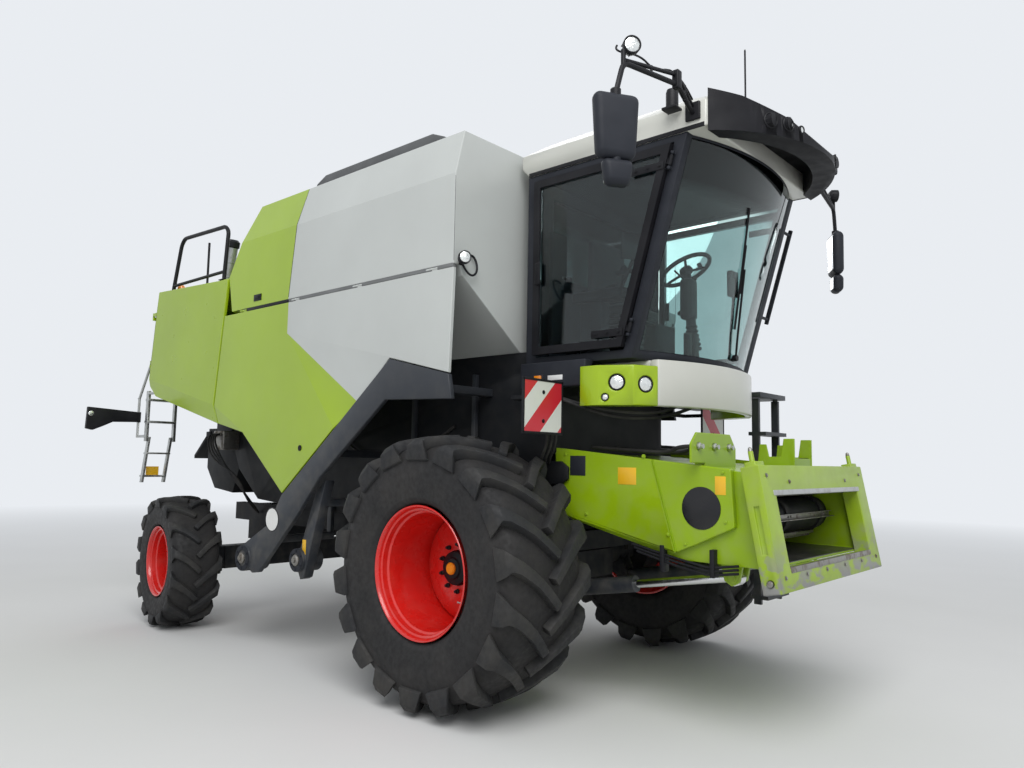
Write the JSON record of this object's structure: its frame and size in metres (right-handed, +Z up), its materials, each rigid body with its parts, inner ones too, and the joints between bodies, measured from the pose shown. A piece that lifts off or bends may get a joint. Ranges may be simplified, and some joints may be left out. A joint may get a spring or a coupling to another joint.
{
  "type": "combine harvester",
  "caption": "Self-propelled grain harvester with a cab, feeder house, grain tank, swinging unloading auger, opening side panels and rear-wheel steering, shown without its header.",
  "frame": {"origin": "on the ground, under the middle of the bounding box", "axes": "+Y points to the rear of the machine, -Y to its feeder house; +Z up; +X to its left side"},
  "size_m": [3.94, 7.0962, 4.64],
  "materials": {
    "green_paint": "gloss lime green paint",
    "pale_paint": "satin pale grey paint",
    "dark_paint": "satin anthracite paint",
    "dark_plastic": "matt anthracite",
    "black_plastic": "black",
    "red_paint": "gloss orange-red paint",
    "tyre_rubber": "matt black rubber",
    "bare_steel": "bare and galvanised steel",
    "cab_glass": "tinted glass",
    "seat_fabric": "dark woven cloth",
    "white_paint": "white with red stripes",
    "amber_lens": "amber lens"
  },
  "bodies": {
    "root": {"chassis": "dark_paint", "front_axle": "dark_paint", "rear_axle": "dark_paint", "threshing_body": "dark_paint", "grain_tank": "pale_paint", "hood": "green_paint", "side_bands": "dark_plastic", "engine": "dark_paint", "cab_shell": "dark_paint", "cab_glass": "cab_glass", "cab_roof": "pale_paint", "visor": "black_plastic", "driver_seat": "seat_fabric", "steering_column": "black_plastic", "cab_console": "black_plastic", "bumper": "pale_paint", "lamp_pods": "green_paint", "mirrors": "black_plastic", "hand_rails": "black_plastic", "access_platform": "dark_paint", "rear_ladder": "bare_steel", "chopper": "dark_paint", "auger_base": "green_paint", "marker_lamps": "amber_lens", "hazard_plates": "white_paint"},
    "front_wheel_right": {"front_tyre_right": "tyre_rubber", "front_rim_right": "red_paint"},
    "front_wheel_left": {"front_tyre_left": "tyre_rubber", "front_rim_left": "red_paint"},
    "steering_right": {"knuckle_right": "dark_paint"},
    "steering_left": {"knuckle_left": "dark_paint"},
    "rear_wheel_right": {"rear_tyre_right": "tyre_rubber", "rear_rim_right": "red_paint"},
    "rear_wheel_left": {"rear_tyre_left": "tyre_rubber", "rear_rim_left": "red_paint"},
    "feeder": {"feeder_house": "green_paint", "feeder_shields": "green_paint", "front_frame": "green_paint", "feeder_chain": "bare_steel"},
    "cylinder_right": {"lift_barrel_right": "black_plastic"},
    "cylinder_rod_right": {"lift_rod_right": "bare_steel"},
    "cylinder_left": {"lift_barrel_left": "black_plastic"},
    "cylinder_rod_left": {"lift_rod_left": "bare_steel"},
    "auger": {"unloading_auger": "green_paint"},
    "lid_right": {"tank_lid_right": "dark_plastic"},
    "lid_left": {"tank_lid_left": "dark_plastic"},
    "cab_door": {"door_frame_left": "black_plastic", "door_glass_left": "cab_glass"},
    "cab_window": {"window_frame_right": "black_plastic", "window_glass_right": "cab_glass"},
    "panel_right": {"side_panel_right": "green_paint"},
    "panel_left": {"side_panel_left": "green_paint"},
    "hood_panel_right": {"rear_panel_right": "green_paint"},
    "hood_panel_left": {"rear_panel_left": "green_paint"},
    "ladder_front": {"front_ladder": "dark_paint"},
    "ladder_rear_low": {"rear_ladder_lower": "bare_steel"},
    "deflector": {"chopper_deflector": "dark_paint"},
    "lamp_arm_right": {"lamp_arm_right": "black_plastic"},
    "lamp_arm_left": {"lamp_arm_left": "black_plastic"}
  },
  "joints": [
    {"name": "front_wheel_right_spin", "type": "hinge", "parent": "root", "child": "front_wheel_right", "pos_m": [-1.345, -1.4669, 0.905], "axis": [1, 0, 0], "continuous": true},
    {"name": "front_wheel_left_spin", "type": "hinge", "parent": "root", "child": "front_wheel_left", "pos_m": [1.345, -1.4669, 0.905], "axis": [1, 0, 0], "continuous": true},
    {"name": "steer_right", "type": "hinge", "parent": "root", "child": "steering_right", "pos_m": [-1.16, 2.1931, 0.62], "axis": [0, 0, 1], "range_deg": [-32, 48]},
    {"name": "rear_wheel_right_spin", "type": "hinge", "parent": "steering_right", "child": "rear_wheel_right", "pos_m": [-1.49669, 2.24042, 0.62], "axis": [0.9903, -0.1392, 0], "continuous": true},
    {"name": "steer_left", "type": "hinge", "parent": "root", "child": "steering_left", "pos_m": [1.16, 2.1931, 0.62], "axis": [0, 0, 1], "range_deg": [-32, 48]},
    {"name": "rear_wheel_left_spin", "type": "hinge", "parent": "steering_left", "child": "rear_wheel_left", "pos_m": [1.49669, 2.14578, 0.62], "axis": [0.9903, -0.1392, 0], "continuous": true},
    {"name": "feeder_lift", "type": "hinge", "parent": "root", "child": "feeder", "pos_m": [0, -1.9669, 1.56], "axis": [-1, 0, 0], "range_deg": [-18, 12]},
    {"name": "cylinder_right_turn", "type": "hinge", "parent": "root", "child": "cylinder_right", "pos_m": [-0.56, -1.5969, 0.69], "axis": [-1, 0, 0], "range_deg": [-13.38, 9.25]},
    {"name": "cylinder_right_stroke", "type": "slide", "parent": "cylinder_right", "child": "cylinder_rod_right", "axis": [0, -0.9859, 0.1675], "range_m": [-0.2671, 0.1814]},
    {"name": "cylinder_left_turn", "type": "hinge", "parent": "root", "child": "cylinder_left", "pos_m": [0.56, -1.5969, 0.69], "axis": [-1, 0, 0], "range_deg": [-13.38, 9.25]},
    {"name": "cylinder_left_stroke", "type": "slide", "parent": "cylinder_left", "child": "cylinder_rod_left", "axis": [0, -0.9859, 0.1675], "range_m": [-0.2671, 0.1814]},
    {"name": "auger_swing", "type": "hinge", "parent": "root", "child": "auger", "pos_m": [1.27, -1.1369, 3.64], "axis": [0, 0, -1], "range_deg": [0, 100]},
    {"name": "lid_right_open", "type": "hinge", "parent": "root", "child": "lid_right", "pos_m": [-1.385, -0.4669, 3.975], "axis": [0, -1, 0], "range_deg": [0, 100]},
    {"name": "lid_left_open", "type": "hinge", "parent": "root", "child": "lid_left", "pos_m": [1.015, -0.4669, 3.975], "axis": [0, 1, 0], "range_deg": [0, 100]},
    {"name": "door_left_open", "type": "hinge", "parent": "root", "child": "cab_door", "pos_m": [0.874, -2.5119, 2.38], "axis": [0, 0.2805, -0.9598], "range_deg": [0, 70]},
    {"name": "window_right_open", "type": "hinge", "parent": "root", "child": "cab_window", "pos_m": [-0.874, -2.5119, 2.38], "axis": [0, -0.2805, 0.9598], "range_deg": [0, 70]},
    {"name": "panel_right_open", "type": "hinge", "parent": "root", "child": "panel_right", "pos_m": [-1.496, 0.0331, 2.968], "axis": [0, 1, 0], "range_deg": [0, 85]},
    {"name": "panel_left_open", "type": "hinge", "parent": "root", "child": "panel_left", "pos_m": [1.496, 0.0331, 2.968], "axis": [0, -1, 0], "range_deg": [0, 85]},
    {"name": "hood_panel_right_open", "type": "hinge", "parent": "root", "child": "hood_panel_right", "pos_m": [-1.485, 3.1451, 2.8], "axis": [0, 0, -1], "range_deg": [0, 100]},
    {"name": "hood_panel_left_open", "type": "hinge", "parent": "root", "child": "hood_panel_left", "pos_m": [1.485, 3.1451, 2.8], "axis": [0, 0, 1], "range_deg": [0, 100]},
    {"name": "ladder_front_swing", "type": "hinge", "parent": "root", "child": "ladder_front", "pos_m": [1.4, -2.5569, 2.2], "axis": [0, 0, 1], "range_deg": [0, 90]},
    {"name": "ladder_rear_fold", "type": "hinge", "parent": "root", "child": "ladder_rear_low", "pos_m": [-1.25, 3.3331, 1.81], "axis": [1, 0, 0], "range_deg": [0, 130]},
    {"name": "deflector_tilt", "type": "hinge", "parent": "root", "child": "deflector", "pos_m": [0, 3.1931, 1.88], "axis": [1, 0, 0], "range_deg": [-15, 25]},
    {"name": "lamp_arm_right_swing", "type": "hinge", "parent": "root", "child": "lamp_arm_right", "pos_m": [-1.424, 3.5181, 2], "axis": [0, 0, -1], "range_deg": [0, 90]},
    {"name": "lamp_arm_left_swing", "type": "hinge", "parent": "root", "child": "lamp_arm_left", "pos_m": [1.424, 3.5181, 2], "axis": [0, 0, 1], "range_deg": [0, 90]}
  ],
  "couplings": [
    {"joint": "steer_left", "follows": "steer_right", "ratio": 1},
    {"joint": "cylinder_right_turn", "follows": "feeder_lift", "ratio": 0.68752},
    {"joint": "cylinder_right_stroke", "follows": "feeder_lift", "m_per_rad": 0.81823},
    {"joint": "cylinder_left_turn", "follows": "feeder_lift", "ratio": 0.68752},
    {"joint": "cylinder_left_stroke", "follows": "feeder_lift", "m_per_rad": 0.81823}
  ]
}
